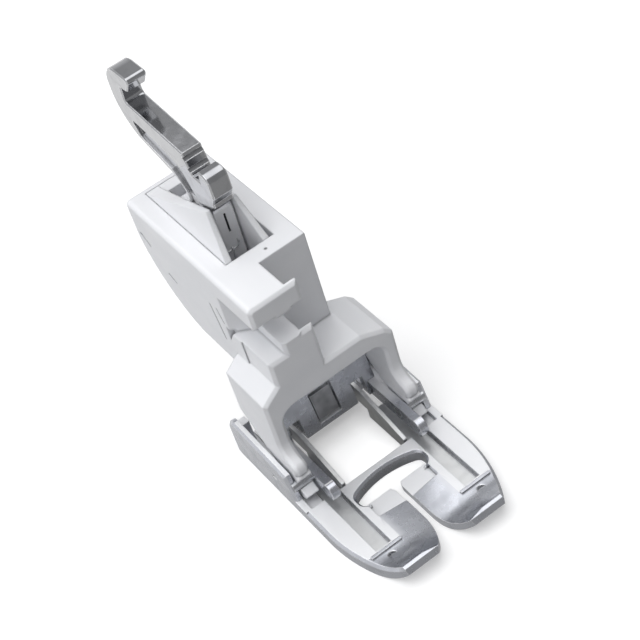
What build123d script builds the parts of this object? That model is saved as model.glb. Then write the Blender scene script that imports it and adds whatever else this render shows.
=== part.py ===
from build123d import *
from math import cos, radians, sin, tan
import os

os.makedirs("parts", exist_ok=True)

# Foot pins, the hinge between fork and foot
pin_y = 4.8
pin_z = 4.5
pin_r = 0.85
pin_fit = 0.05

# Sole of the foot, measured from the strip behind the needle opening
plate_t = 2.2
floor_t = 1.3
toe_front = -18.9
toe_side_y = -13.2
side_front = -4.6
toe_bend = -13.4
toe_lift = 2.6
toe_tip_top = 4.0
toe_tip_back = 0.7
toe_bevel = 0.45
arm_out = 13.1
arm_wall = 1.1
arm_in = arm_out - arm_wall
toe_draw = 1.5
toe_side = arm_out - toe_draw
toe_taper = 4.3
toe_half = arm_out - toe_taper
arm_top = 7.0
arm_rear_top = 7.9
arm_rear = 21.2
arm_end = 1.5
arm_end_w = 1.8
arm_end_in = arm_in - arm_end_w
arm_front = 5.2
arm_foot = 3.8
rear_lift = 0.5
rear_round = 2.2
recess_y = 1.2
arm_edge = 0.4
arm_hole_y = 9.0
arm_hole_z = 3.9
arm_hole_l = 1.3
arm_hole_h = 0.6
pin_seat = 0.6

# Fork legs, hooked over the pins between arm and rib
leg_gap = 0.4
leg_out = arm_in - leg_gap
leg_w = 2.25
leg_in = leg_out - leg_w

# Needle plate, its opening and the feed slots
side_strip = 2.3
slot_out = arm_in - side_strip
slot_w = 2.8
needle_half = slot_out - slot_w
needle_rear = 1.1
slot_front = -11.9
opening_rest = 0.7
opening_half = needle_half - opening_rest
opening_rear = -0.15
opening_side = -1.6
opening_front = -4.4
opening_end = 1.3
opening_bevel = 0.35
step_y = -7.2
ledge_z = 1.1
ledge_rear = -3.5
ledge_rest = 0.6
ledge_out = opening_half - ledge_rest
slit_half = 0.6
slit_mouth = 3.4
slit_bend = -11.5
lane_rest = 1.4
lane_half = needle_half - lane_rest
lane_depth = 0.9
lane_clear = 1.0
rim_y = -12.6
rim_w = 0.5
rim_h = 0.3
rim_lap = 1.3
rim_in = needle_half - rim_lap
rim_rest = 0.6
rim_out = toe_side - rim_rest
dimple_x = (rim_in + rim_out) / 2
dimple_y = -14.1
dimple_r = 0.8
dimple_d = 0.35
dimple_slope = 50

# Ribs and leaning bridge of the foot
rib_gap = 0.25
rib_out = leg_in - rib_gap
rib_w = 1.4
rib_in = rib_out - rib_w
rib_front = -0.4
rib_top = 5.8
rib_low = 3.0
slab_y = 16.6
slab_t = 1.5
post_rear = 18.4
wall_y = 11.8
wall_low = 3.4
wall_top = 11.0
wall_t = 1.6
wall_lean = 13
window_half = 2.1
window_low = 4.3
window_top = 10.0
hole_top = 7.2

# Upper feed dogs and their carrier
feed_gap = 0.25
web_set = 1.3
web_in = needle_half - web_set
web_t = 0.65
hole_gap = 0.65
hole_in = web_in - hole_gap
hole_step = 0.95
hole_out = web_in + web_t + hole_step
web_rear = 17.6
web_front_z = 2.6
web_rear_z = 5.4
web_low = 2.1
flange_low = 0.2
flange_t = 0.9
flange_rear = 10.8
tooth_pitch = 1.2
tooth_depth = 0.4
carrier_top = 6.3
carrier_front = 14.6
nose_gap = 0.25
nose_set = 0.3
window_nose_top = 9.2
cup_gap = 0.75
cup_wall = 1.2
cup_floor = 3.1
cup_top = 10.2
cup_half = 2.3
rivet_r = 0.55
rivet_head_r = 0.9
rivet_head = 0.3
rivet_step = 2.0

# Lever and its pivot
lever_x = -1.5
lever_half = 1.68
lever_gap = 0.2
pivot_y = 22.8
pivot_z = 27.5
pivot_r = 1.5
bush_r = 2.2
run_fit = 0.04
press_fit = 0.01
boss_r = 3.6
tip_z = 7.2
tip_r = 1.1
tip_neck = 0.8
arm_root = 2.2
stroke = 5.5
floor_slot = 3.4

# Outline of the lever above its pivot, with heights as drops from the crown
crown_z = 59.8
crown_y = 36.1
beak_y = 38.1
beak_drop = 2.8
throat_y = 40.4
throat_drop = 3.0
arm_end_y = 40.8
arm_end_drop = 6.0
arm_low_y = 25.5
arm_low_drop = 7.3
comb_y = 24.5
comb_drop = 10.9
comb_r = 0.45
comb_count = 2
knuckle_rear = 21.9
knuckle_drop = 8.7
knuckle_round = 1.5
knuckle_y = 19.4
knuckle_low_drop = 12.5
notch_y = 22.3
lip_y = 20.3
lip_drop = 14.6
lip_h = 0.7
stem_top_y = 21.9
stem_top_drop = 16.0
stem_front = 22.3
stem_rear = 29.4
head_y = 44.4
head_round = 4.2
heel_y = 44.75
heel_drop = 11.2
heel_round = 7.2
waist_y = 29.3
waist_drop = 15.0
waist_round = 3.2
stem_low_drop = 21.6
rail_top = 2.9
rail_low = 1.0
rail_front = 3.7
rail_rear = 0.6
hollow_front = 28.4
hollow_bend = 31.6
hollow_rear = 39.3
hollow_low_drop = 18.5
hollow_depth = 0.5
hollow_round = 0.5
slit_w = 0.35
slit_l = 3.6
slit_d = 0.8
slit_set = 1.6
lever_soft = 0.6
lever_tight = 0.3
lever_edge = 0.22

# Holder moulding
top_z = 38.2
left_x = -8.8
right_x = 5.85
face_y = 13.75
rear_y = 40.9
belly_z = 19.0
belly_y = 28.4
belly_side_z = 31.5
belly_mid_y = 37.1
belly_mid_z = 23.9
shell_t = 1.6
rear_wall = 0.8
bay_left = -5.7
bay_right = 2.7
bay_front = 17.0
neck_left = -5.6
neck_right = -2.15
prong_tip = -0.4
prong_t = 0.9
clamp_front = 6.5
plate_low = 34.3
tab_top = 29.1
tab_tip = -0.2
block_left = -8.6
block_top = 27.0
recess_rear = 16.6
recess_turn = 14.4
fork_rear = 16.9
arch_z = 17.4
arch_round = 2.4
shoulder_z = 21.4
shoulder_x = 6.2
shoulder_low = 19.6
shoulder_run = 1.3
shoulder_low_x = leg_out - shoulder_run
left_shoulder_z = 20.4
left_top_z = 22.6
hook_r = 2.6
leg_bend = 12.2
nose_y = 3.4
nose_z = 7.6
nose_back = 4.3
nose_top = 9.4
mouth_up = 55
mouth_down = 35
edge_soft = 0.8
edge_small = 0.4
front_edge = 0.5
edge_round = 0.7
shoulder_round = 1.8
tol = 0.01

# Shallow marks on the moulding's left face and top
mark_d = 0.3
mark_rear_y = 38.5
mark_rear_z = 31.9
mark_rear_l = 2.9
mark_rear_w = 0.7
mark_rear_turn = 35
mark_mid_y = 33.0
mark_mid_z = 27.2
mark_mid_l = 2.2
mark_mid_w = 0.45
mark_mid_turn = 24
line_y = 20.0
line_z = 27.0
line_l = 7.0
line_w = 0.25
line_turn = 80
line_short_y = 18.2
line_short_z = 29.4
line_short_l = 2.8
line_short_turn = 70
nick_y = 15.7
nick_z = 27.4
nick_w = 1.8
nick_h = 2.6
nick_d = 0.9
dot_x = 0.2
dot_y = 15.4
dot_r = 0.25

# Guide beside the lever
guide_gap = 0.1
guide_right = 1.9
ridge_t = 0.7
cheek_lip = 1.0
guide_rear = 30.4
pocket_y = 36.4
pocket_w = 2.7
pocket_d = 4.0
peak_y = 21.7
peak_z = 44.4

# Pivot clip
clip_r = 2.5
clip_t = 0.5
groove_r = 1.2
clip_set = 0.8
pin_blind = 7.6

tip_y = pivot_y - stroke / 2
lean = tan(radians(wall_lean))


def wall_face(z):
    """Y of the bridge's front face at height z."""
    return wall_y + (z - wall_low) * lean


# One casting: sole, toes, side arms, ribs and bridge
with BuildPart() as foot:
    with BuildSketch():
        with BuildLine():
            Line((-toe_half, toe_front), (toe_half, toe_front))
            ThreePointArc((toe_half, toe_front), (toe_side, toe_side_y), (arm_out, side_front))
            Line((arm_out, side_front), (arm_out, arm_rear))
            Line((arm_out, arm_rear), (-arm_out, arm_rear))
            Line((-arm_out, arm_rear), (-arm_out, side_front))
            ThreePointArc((-arm_out, side_front), (-toe_side, toe_side_y), (-toe_half, toe_front))
        make_face()
    extrude(amount=toe_tip_top)
    # Side view: flat sole, toes bent up in front, rounded rear end
    with BuildSketch(Plane.YZ):
        with BuildLine():
            Line((toe_bend, 0), (arm_rear - rear_round, 0))
            TangentArc((arm_rear - rear_round, 0), (arm_rear, rear_lift), tangent=(1, 0))
            Line((arm_rear, rear_lift), (arm_rear, plate_t))
            Line((arm_rear, plate_t), (toe_bend, plate_t))
            tip = (toe_front + toe_tip_back, toe_tip_top)
            TangentArc((toe_bend, plate_t), tip, tangent=(-1, 0))
            Line(tip, (toe_front, toe_lift))
            TangentArc((toe_bend, 0), (toe_front, toe_lift), tangent=(-1, 0))
        make_face()
    extrude(amount=arm_out, both=True, mode=Mode.INTERSECT)
    # Bevel round the outer and front edges of the toes
    toes = foot.edges().filter_by_position(Axis.Y, toe_front + tol, toe_bend - tol)
    toes = toes.filter_by_position(Axis.Z, plate_t + tol, toe_tip_top + tol)
    chamfer(toes.filter_by(lambda edge: edge.length > toe_tip_top), toe_bevel)
    # Lowered floors beside the pins and behind the bridge
    with BuildSketch(Plane.XY.offset(plate_t)):
        for side in (-1, 1):
            with Locations((side * (slot_out + arm_in) / 2, (recess_y + arm_rear) / 2)):
                Rectangle(arm_in - slot_out, arm_rear - recess_y)
    extrude(amount=floor_t - plate_t, mode=Mode.SUBTRACT)
    with BuildSketch(Plane.XY.offset(plate_t)):
        with Locations((0, (slab_y + arm_rear) / 2)):
            Rectangle(2 * slot_out, arm_rear - slab_y)
    extrude(amount=slab_t - plate_t, mode=Mode.SUBTRACT)
    # Middle opening with the two feed slots running forward from it
    with BuildSketch():
        with Locations((0, (needle_rear + slab_y) / 2)):
            Rectangle(2 * slot_out, slab_y - needle_rear)
        for side in (-1, 1):
            with Locations((side * (needle_half + slot_out) / 2, (slot_front + needle_rear) / 2)):
                Rectangle(slot_w, needle_rear - slot_front)
    extrude(amount=plate_t, mode=Mode.SUBTRACT)
    # Side arms with a sloping front
    for side in (-1, 1):
        with BuildSketch(Plane.YZ.offset(side * arm_in)):
            with BuildLine():
                Line((recess_y, floor_t), (recess_y, plate_t))
                Line((recess_y, plate_t), (arm_foot, plate_t))
                Line((arm_foot, plate_t), (arm_front, arm_top))
                arm_corner = (arm_rear, arm_rear_top - rear_round)
                Line((arm_front, arm_top), (arm_rear - rear_round, arm_rear_top))
                RadiusArc((arm_rear - rear_round, arm_rear_top), arm_corner, rear_round)
                Line(arm_corner, (arm_rear, floor_t))
                Line((arm_rear, floor_t), (recess_y, floor_t))
            make_face()
        extrude(amount=side * arm_wall)
        with BuildSketch(Plane.XY.offset(floor_t)):
            with Locations((side * (arm_end_in + arm_in) / 2, arm_rear - arm_end / 2)):
                Rectangle(arm_end_w, arm_end)
        extrude(amount=arm_rear_top - rear_round - floor_t)
    arms = foot.edges().filter_by_position(Axis.Z, plate_t + tol, arm_rear_top + tol)
    chamfer(arms.group_by(Axis.X)[0] + arms.group_by(Axis.X)[-1], arm_edge)
    # Ribs carried forward from the posts behind the bridge
    for side in (-1, 1):
        with BuildSketch(Plane.YZ.offset(side * rib_in)):
            with BuildLine():
                Line((rib_front, rib_low), (slab_y, rib_low))
                Line((slab_y, rib_low), (slab_y, floor_t))
                Line((slab_y, floor_t), (post_rear, floor_t))
                Line((post_rear, floor_t), (post_rear, rib_top))
                Line((post_rear, rib_top), (rib_front + (rib_top - rib_low) / 2, rib_top))
                ThreePointArc(
                    (rib_front + (rib_top - rib_low) / 2, rib_top),
                    (rib_front - (rib_top - rib_low) / 4, (rib_top + rib_low) / 2 + edge_small),
                    (rib_front, rib_low),
                )
            make_face()
        extrude(amount=side * rib_w)
    # Leaning bridge with a middle window and two holes for the feed dogs
    with BuildSketch(Plane.YZ):
        Polygon(
            (wall_face(wall_low), wall_low),
            (wall_face(wall_top), wall_top),
            (wall_face(wall_top) + wall_t, wall_top),
            (wall_face(wall_low) + wall_t, wall_low),
            align=None,
        )
    extrude(amount=rib_out, both=True)
    with BuildSketch(Plane.XZ.offset(-wall_y)):
        with Locations((0, (window_low + window_top) / 2)):
            Rectangle(2 * window_half, window_top - window_low)
        for side in (-1, 1):
            with Locations((side * (hole_in + hole_out) / 2, (wall_low + hole_top) / 2)):
                Rectangle(hole_out - hole_in, hole_top - wall_low)
    extrude(amount=wall_y - slab_y, mode=Mode.SUBTRACT)
    # Needle opening with a bowed rear edge and a small bevel
    with BuildSketch(Plane.XY.offset(plate_t)) as opening:
        with BuildLine():
            ThreePointArc((-opening_half, opening_side), (0, opening_rear), (opening_half, opening_side))
            Line((opening_half, opening_side), (opening_half, opening_front))
            Line((opening_half, opening_front), (-opening_half, opening_front))
            Line((-opening_half, opening_front), (-opening_half, opening_side))
        make_face()
        fillet(opening.vertices(), opening_end)
    extrude(amount=-plate_t, mode=Mode.SUBTRACT)
    brim = foot.edges().filter_by_position(Axis.Z, plate_t - tol, plate_t + tol)
    brim = brim.filter_by_position(Axis.Y, opening_front - tol, opening_rear + tol)
    chamfer(brim.filter_by_position(Axis.X, -opening_half - tol, opening_half + tol), opening_bevel)
    # Low ledges that reach from the toes into the opening
    with BuildSketch(Plane.XY.offset(ledge_z)):
        with Locations((0, (opening_front + step_y) / 2)):
            Rectangle(2 * ledge_out, opening_front - step_y)
    extrude(amount=plate_t - ledge_z, mode=Mode.SUBTRACT)
    with BuildSketch():
        with Locations((0, (ledge_rear + step_y) / 2)):
            Rectangle(2 * ledge_out, ledge_rear - step_y)
    extrude(amount=ledge_z)
    # Inner lanes of the toes fall towards the slit and follow the bend
    with BuildLine(Plane.YZ):
        Line((step_y, plate_t), (toe_bend, plate_t))
        bend = TangentArc((toe_bend, plate_t), tip, tangent=(-1, 0))
        Line(bend @ 1, bend @ 1 + bend % 1 * lane_clear)
    with BuildSketch(Plane(origin=(0, step_y, plate_t), x_dir=(1, 0, 0), z_dir=(0, -1, 0))):
        Polygon(
            (-lane_half, lane_clear),
            (-lane_half, 0),
            (0, -lane_depth),
            (lane_half, 0),
            (lane_half, lane_clear),
            align=None,
        )
    sweep(mode=Mode.SUBTRACT)
    with BuildSketch(Plane.XY):
        with BuildLine():
            Line((-slit_half, opening_front), (slit_half, opening_front))
            Line((slit_half, opening_front), (slit_half, slit_bend))
            TangentArc((slit_half, slit_bend), (slit_mouth, toe_front), tangent=(0, -1))
            Line((slit_mouth, toe_front), (-slit_mouth, toe_front))
            TangentArc((-slit_half, slit_bend), (-slit_mouth, toe_front), tangent=(0, -1))
            Line((-slit_half, slit_bend), (-slit_half, opening_front))
        make_face()
    extrude(amount=toe_tip_top, mode=Mode.SUBTRACT)
    # Rim across each toe and the round dimple in front of it
    with BuildSketch(Plane.XY.offset(plate_t - rim_h)):
        for side in (-1, 1):
            with Locations((side * (rim_in + rim_out) / 2, rim_y)):
                Rectangle(rim_out - rim_in, rim_w)
    extrude(amount=2 * rim_h)
    with BuildSketch(Plane.XY.offset(plate_t)):
        with Locations((-dimple_x, dimple_y), (dimple_x, dimple_y)):
            Circle(dimple_r)
    extrude(amount=-dimple_d, taper=dimple_slope, mode=Mode.SUBTRACT)
    # Bores for the two pins, through the rib and blind in the arm
    for side in (-1, 1):
        with BuildSketch(Plane.YZ.offset(side * rib_in)):
            with Locations((pin_y, pin_z)):
                Circle(pin_r + press_fit)
        extrude(amount=side * (arm_in + pin_seat - rib_in), mode=Mode.SUBTRACT)
        with BuildSketch(Plane.YZ.offset(side * arm_in)):
            with Locations((arm_hole_y, arm_hole_z)):
                Rectangle(arm_hole_l, arm_hole_h)
        extrude(amount=side * arm_wall, mode=Mode.SUBTRACT)
foot.part.label = "foot"
export_step(foot.part, "parts/foot.step")

with BuildPart() as foot_pin_left:
    with BuildSketch(Plane.YZ.offset(-rib_in)):
        with Locations((pin_y, pin_z)):
            Circle(pin_r)
    extrude(amount=rib_in - arm_in - pin_seat)
foot_pin_left.part.label = "foot_pin_left"
export_step(foot_pin_left.part, "parts/foot_pin_left.step")

with BuildPart() as foot_pin_right:
    with BuildSketch(Plane.YZ.offset(rib_in)):
        with Locations((pin_y, pin_z)):
            Circle(pin_r)
    extrude(amount=arm_in + pin_seat - rib_in)
foot_pin_right.part.label = "foot_pin_right"
export_step(foot_pin_right.part, "parts/foot_pin_right.step")


def feed_dog(side):
    """One feed dog: upright web, toothed flange and holes for two rivets."""
    flange_in = needle_half + feed_gap
    flange_out = slot_out - feed_gap
    front = slot_front + feed_gap
    with BuildPart() as dog:
        with BuildSketch(Plane.YZ.offset(side * web_in)):
            Polygon(
                (needle_rear + feed_gap, flange_low),
                (needle_rear + feed_gap, web_front_z),
                (wall_y, web_rear_z),
                (web_rear, web_rear_z),
                (web_rear, web_low),
                (flange_rear, web_low),
                (flange_rear, flange_low),
                align=None,
            )
        extrude(amount=side * web_t)
        with BuildSketch(Plane.XY.offset(flange_low)):
            with Locations((side * (flange_in + flange_out) / 2, (front + flange_rear) / 2)):
                Rectangle(flange_out - flange_in, flange_rear - front)
            with Locations((side * (web_in + flange_out) / 2, (needle_rear + feed_gap + flange_rear) / 2)):
                Rectangle(flange_out - web_in, flange_rear - needle_rear - feed_gap)
        extrude(amount=flange_t)
        with BuildSketch(Plane.YZ.offset(side * flange_in)):
            for count in range(int((flange_rear - front) / tooth_pitch)):
                root = front + count * tooth_pitch
                Polygon(
                    (root, flange_low),
                    (root + tooth_pitch * 3 / 4, flange_low),
                    (root + tooth_pitch / 4, flange_low + tooth_depth),
                    align=None,
                )
        extrude(amount=side * (flange_out - flange_in), mode=Mode.SUBTRACT)
        with BuildSketch(Plane.YZ.offset(side * web_in)):
            with Locations(*rivet_places()):
                Circle(rivet_r + press_fit)
        extrude(amount=side * web_t, mode=Mode.SUBTRACT)
    return dog


def rivet_places():
    """Centres of the two rivets of one feed dog, in the plane of its web."""
    middle = (carrier_front + web_rear) / 2
    height = (web_low + web_rear_z) / 2
    return [(middle - rivet_step / 2, height), (middle + rivet_step / 2, height)]


feed_dog_left = feed_dog(-1)
feed_dog_left.part.label = "feed_dog_left"
export_step(feed_dog_left.part, "parts/feed_dog_left.step")

feed_dog_right = feed_dog(1)
feed_dog_right.part.label = "feed_dog_right"
export_step(feed_dog_right.part, "parts/feed_dog_right.step")

# Carrier: cross block, nose in the bridge window and cup for the lever's tip
cup_front = tip_y - tip_r - cup_gap
cup_rear = tip_y + tip_r + cup_gap
with BuildPart() as feed_carrier:
    with BuildSketch(Plane.YZ):
        Polygon(
            (carrier_front, web_low),
            (carrier_front, carrier_top),
            (cup_front, carrier_top),
            (cup_front, web_low),
            align=None,
        )
    extrude(amount=web_in, both=True)
    with BuildSketch(Plane.YZ):
        Polygon(
            (wall_face(window_low + nose_gap) + nose_set, window_low + nose_gap),
            (wall_face(window_nose_top) + nose_set, window_nose_top),
            (cup_front, window_nose_top),
            (cup_front, window_low + nose_gap),
            align=None,
        )
    extrude(amount=window_half - nose_gap, both=True)
    with BuildSketch(Plane.YZ.offset(lever_x - cup_half)):
        Polygon(
            (cup_front, web_low),
            (cup_front, cup_floor),
            (cup_rear, cup_floor),
            (cup_rear, cup_top),
            (cup_rear + cup_wall, cup_top),
            (cup_rear + cup_wall, web_low),
            align=None,
        )
    extrude(amount=2 * cup_half)
    with BuildSketch(Plane.YZ.offset(lever_x - cup_half)):
        Polygon(
            (cup_front - cup_wall, carrier_top),
            (cup_front - cup_wall, cup_top),
            (cup_front, cup_top),
            (cup_front, carrier_top),
            align=None,
        )
    extrude(amount=2 * cup_half)
    with BuildSketch(Plane.YZ.offset(-web_in)):
        with Locations(*rivet_places()):
            Circle(rivet_r + press_fit)
    extrude(amount=2 * web_in, mode=Mode.SUBTRACT)
feed_carrier.part.label = "feed_carrier"
export_step(feed_carrier.part, "parts/feed_carrier.step")

# Two rivets right through the carrier, headed outside both webs
with BuildPart() as dog_rivets:
    with BuildSketch(Plane.YZ.offset(-web_in - web_t)):
        with Locations(*rivet_places()):
            Circle(rivet_r)
    extrude(amount=2 * (web_in + web_t))
    for side in (-1, 1):
        with BuildSketch(Plane.YZ.offset(side * (web_in + web_t))):
            with Locations(*rivet_places()):
                Circle(rivet_head_r)
        extrude(amount=side * rivet_head)
dog_rivets.part.label = "dog_rivets"
export_step(dog_rivets.part, "parts/dog_rivets.step")

# White moulding: housing, clamp arm, neck and fork
with BuildPart() as holder_body:
    with BuildSketch(Plane.YZ.offset(left_x)):
        with BuildLine():
            Line((face_y, top_z), (rear_y, top_z))
            Line((rear_y, top_z), (rear_y, belly_side_z))
            ThreePointArc((rear_y, belly_side_z), (belly_mid_y, belly_mid_z), (belly_y, belly_z))
            Line((belly_y, belly_z), (face_y, belly_z))
            Line((face_y, belly_z), (face_y, top_z))
        make_face()
    extrude(amount=right_x - left_x)
    # Clamp arm above the neck
    with BuildSketch(Plane.XY.offset(plate_low)):
        with BuildLine():
            Polyline(
                (left_x, clamp_front),
                (prong_tip, clamp_front),
                (prong_tip, clamp_front + prong_t),
                (neck_right, clamp_front + prong_t),
                (neck_right, face_y),
                (left_x, face_y),
                close=True,
            )
        make_face()
    extrude(amount=top_z - plate_low)
    left_edges = holder_body.edges().filter_by_position(Axis.X, left_x - tol, left_x + tol)
    fillet(left_edges.filter_by(Axis.Y).filter_by_position(Axis.Z, top_z - tol, top_z + tol), edge_soft)
    with BuildSketch(Plane.XY.offset(arch_z)):
        with BuildLine():
            Polyline(
                (neck_left, clamp_front),
                (tab_tip, clamp_front),
                (tab_tip, clamp_front + prong_t),
                (neck_right, clamp_front + prong_t),
                (neck_right, face_y),
                (neck_left, face_y),
                close=True,
            )
        make_face()
    extrude(amount=tab_top - arch_z)
    with BuildSketch(Plane.XY.offset(tab_top)):
        with Locations(((neck_left + neck_right) / 2, (clamp_front + face_y) / 2)):
            Rectangle(neck_right - neck_left, face_y - clamp_front)
    extrude(amount=plate_low - tab_top)
    with BuildSketch(Plane.XY.offset(arch_z)):
        with Locations(((block_left + neck_left) / 2, (clamp_front + recess_rear) / 2)):
            Rectangle(neck_left - block_left, recess_rear - clamp_front)
    extrude(amount=block_top - arch_z)
    # Fork crown with its arch
    with BuildSketch(Plane.XZ.offset(-clamp_front)) as crown:
        Polygon(
            (-leg_out, arch_z - arch_round),
            (-leg_out, left_shoulder_z),
            (block_left, left_top_z),
            (neck_left, left_top_z),
            (neck_left, shoulder_z),
            (shoulder_x, shoulder_z),
            (shoulder_low_x, shoulder_low),
            (leg_out, shoulder_low - shoulder_run),
            (leg_out, arch_z - arch_round),
            align=None,
        )
        fillet(crown.vertices().group_by(Axis.X)[-1].sort_by(Axis.Z)[-1:], shoulder_round)
        fillet(crown.vertices().group_by(Axis.X)[0].sort_by(Axis.Z)[-1:], edge_round)
    extrude(amount=clamp_front - fork_rear)
    with BuildSketch(Plane.XZ.offset(-clamp_front)):
        with Locations((0, arch_z - 2 * arch_round)):
            RectangleRounded(2 * leg_in, 4 * arch_round, arch_round)
    extrude(amount=clamp_front - fork_rear, mode=Mode.SUBTRACT)
    # Legs with hooks over the foot pins
    for side in (-1, 1):
        with BuildSketch(Plane.YZ.offset(side * leg_in)):
            with BuildLine():
                Line((clamp_front, arch_z), (clamp_front, leg_bend))
                bend = TangentArc((clamp_front, leg_bend), (nose_back, nose_top), tangent=(0, -1))
                TangentArc((nose_back, nose_top), (nose_y, nose_z), tangent=bend % 1)
                Line((nose_y, nose_z), (pin_y, pin_z))
                Line((pin_y, pin_z), (pin_y + hook_r * sin(radians(mouth_up)), pin_z - hook_r / 2))
                Line(
                    (pin_y + hook_r * sin(radians(mouth_up)), pin_z - hook_r / 2),
                    (fork_rear, leg_bend),
                )
                Line((fork_rear, leg_bend), (fork_rear, arch_z))
                Line((fork_rear, arch_z), (clamp_front, arch_z))
            make_face()
            with Locations((pin_y, pin_z)):
                Circle(hook_r)
        extrude(amount=side * leg_w)
        with BuildSketch(Plane.YZ.offset(side * leg_in)):
            reach = 2 * hook_r
            Polygon(
                (pin_y, pin_z),
                (pin_y - reach * cos(radians(mouth_up)), pin_z + reach * sin(radians(mouth_up))),
                (pin_y - reach, pin_z),
                (pin_y - reach * cos(radians(mouth_down)), pin_z - reach * sin(radians(mouth_down))),
                align=None,
            )
            with Locations((pin_y, pin_z)):
                Circle(pin_r + pin_fit)
        extrude(amount=side * leg_w, mode=Mode.SUBTRACT)
    # Soft edges round the flat front
    front_edges = holder_body.edges().filter_by_position(Axis.Y, clamp_front - tol, clamp_front + tol)
    chamfer(front_edges, front_edge)
    # Recess for the head of the clamp screw, and the slot for its shank
    with BuildSketch(Plane.XY.offset(block_top)):
        Polygon(
            (left_x, clamp_front),
            (neck_left, clamp_front),
            (neck_left, recess_turn),
            (left_x, recess_rear),
            align=None,
        )
    extrude(amount=plate_low - block_top, mode=Mode.SUBTRACT)
    with BuildSketch(Plane.YZ.offset(neck_left)):
        with BuildLine():
            slot_r = (plate_low - tab_top) / 2
            slot_y = (clamp_front + prong_t + face_y) / 2
            Line((clamp_front, tab_top), (slot_y, tab_top))
            ThreePointArc((slot_y, tab_top), (slot_y + slot_r, tab_top + slot_r), (slot_y, plate_low))
            Line((slot_y, plate_low), (clamp_front, plate_low))
            Line((clamp_front, plate_low), (clamp_front, tab_top))
        make_face()
    extrude(amount=neck_right - neck_left, mode=Mode.SUBTRACT)
    # Bay for the guide and lever, open above and slotted below
    with BuildSketch(Plane.YZ.offset(bay_left)):
        with BuildLine():
            Line((bay_front, top_z), (rear_y - rear_wall, top_z))
            Line((rear_y - rear_wall, top_z), (rear_y - rear_wall, belly_side_z))
            ThreePointArc(
                (rear_y - rear_wall, belly_side_z),
                (belly_mid_y - shell_t / 2, belly_mid_z + shell_t),
                (belly_y, belly_z + shell_t),
            )
            Line((belly_y, belly_z + shell_t), (bay_front, belly_z + shell_t))
            Line((bay_front, belly_z + shell_t), (bay_front, top_z))
        make_face()
    extrude(amount=bay_right - bay_left, mode=Mode.SUBTRACT)
    with BuildSketch(Plane.XY.offset(belly_z)):
        with Locations((lever_x, pivot_y)):
            Rectangle(2 * (lever_half + lever_gap), 2 * floor_slot)
    extrude(amount=shell_t, mode=Mode.SUBTRACT)
    # Pivot bore from the right, blind at the left
    with BuildSketch(Plane.YZ.offset(-pin_blind)):
        with Locations((pivot_y, pivot_z)):
            Circle(pivot_r + press_fit)
    extrude(amount=right_x + pin_blind, mode=Mode.SUBTRACT)
    with BuildSketch(Plane.YZ.offset(right_x)):
        with Locations((pivot_y, pivot_z)):
            Circle(clip_r + feed_gap)
    extrude(amount=-clip_set - clip_t, mode=Mode.SUBTRACT)
    # Marks of the mould
    with BuildSketch(Plane.YZ.offset(left_x)):
        with Locations((mark_rear_y, mark_rear_z)):
            SlotOverall(mark_rear_l, mark_rear_w, rotation=mark_rear_turn)
        with Locations((mark_mid_y, mark_mid_z)):
            Rectangle(mark_mid_l, mark_mid_w, rotation=mark_mid_turn)
        with Locations((line_y, line_z)):
            Rectangle(line_l, line_w, rotation=line_turn)
        with Locations((line_short_y, line_short_z)):
            Rectangle(line_short_l, line_w, rotation=line_short_turn)
    extrude(amount=mark_d, mode=Mode.SUBTRACT)
    with BuildSketch(Plane.YZ.offset(left_x)):
        Polygon(
            (nick_y, nick_z),
            (nick_y + nick_w, nick_z + mark_d),
            (nick_y + nick_w, nick_z - nick_h),
            align=None,
        )
    extrude(amount=nick_d, mode=Mode.SUBTRACT)
    with BuildSketch(Plane.XY.offset(top_z)):
        with Locations((dot_x, dot_y)):
            RegularPolygon(dot_r, 8)
    extrude(amount=-mark_d, mode=Mode.SUBTRACT)
holder_body.part.label = "holder_body"
export_step(holder_body.part, "parts/holder_body.step")

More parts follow.
